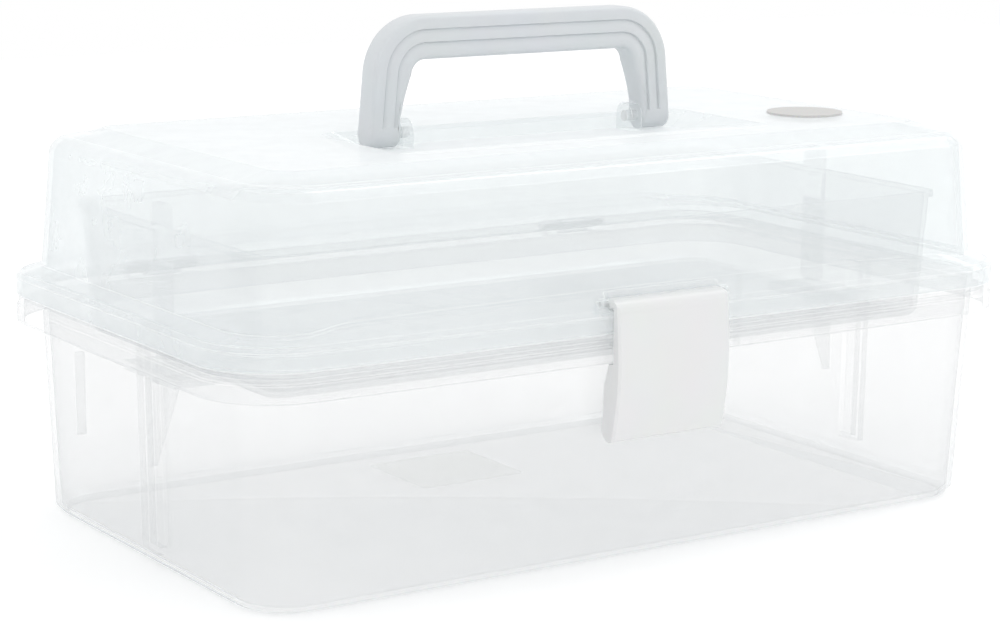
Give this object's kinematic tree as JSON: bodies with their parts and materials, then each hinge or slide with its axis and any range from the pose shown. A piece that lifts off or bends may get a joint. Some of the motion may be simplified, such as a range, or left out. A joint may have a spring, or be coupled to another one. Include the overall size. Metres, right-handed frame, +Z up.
{
  "type": "carry storage box",
  "caption": "Clear plastic carry box with a hinged domed lid, swinging front latch, folding handle and lift-out tray.",
  "frame": {"origin": "centre of the underside, on the ground under the middle of the overall box", "axes": "+X to the right along the length, +Y from the latch side to the hinge side, +Z up"},
  "size_m": [0.33, 0.2009, 0.1826],
  "materials": {
    "clear_plastic": "injection-moulded clear plastic, polished",
    "tray_plastic": "injection-moulded clear plastic, polished",
    "handle_plastic": "injection-moulded pale grey plastic, satin gloss",
    "latch_plastic": "injection-moulded white plastic, satin gloss",
    "badge_foil": "bare printed-film badge, satin",
    "label_film": "bare film label, matt"
  },
  "bodies": {
    "base": {"base_tub": "clear_plastic", "floor_label": "label_film", "hinge_pin_left": "latch_plastic", "hinge_pin_right": "latch_plastic"},
    "lid": {"lid_shell": "clear_plastic", "lid_badge": "badge_foil", "latch_pin": "latch_plastic"},
    "handle": {"handle": "handle_plastic", "handle_pin_left": "handle_plastic", "handle_pin_right": "handle_plastic"},
    "latch": {"latch": "latch_plastic"},
    "tray": {"tray": "tray_plastic"}
  },
  "joints": [
    {"name": "lid_hinge", "type": "hinge", "parent": "base", "child": "lid", "pos_m": [0, 0.0985, 0.0821], "axis": [-1, 0, 0], "range_deg": [0, 125]},
    {"name": "latch_swing", "type": "hinge", "parent": "lid", "child": "latch", "pos_m": [0, -0.0917, 0.0917], "axis": [-1, 0, 0], "range_deg": [0, 90]},
    {"name": "handle_fold", "type": "hinge", "parent": "lid", "child": "handle", "pos_m": [0, -0.0023, 0.1415], "axis": [1, 0, 0], "range_deg": [0, 84]},
    {"name": "tray_lift", "type": "slide", "parent": "base", "child": "tray", "axis": [0, 0, 1], "range_m": [0, 0.0655]}
  ],
  "couplings": [
    {"joint": "tray_lift", "follows": "lid_hinge", "m_per_rad": 0.03}
  ]
}
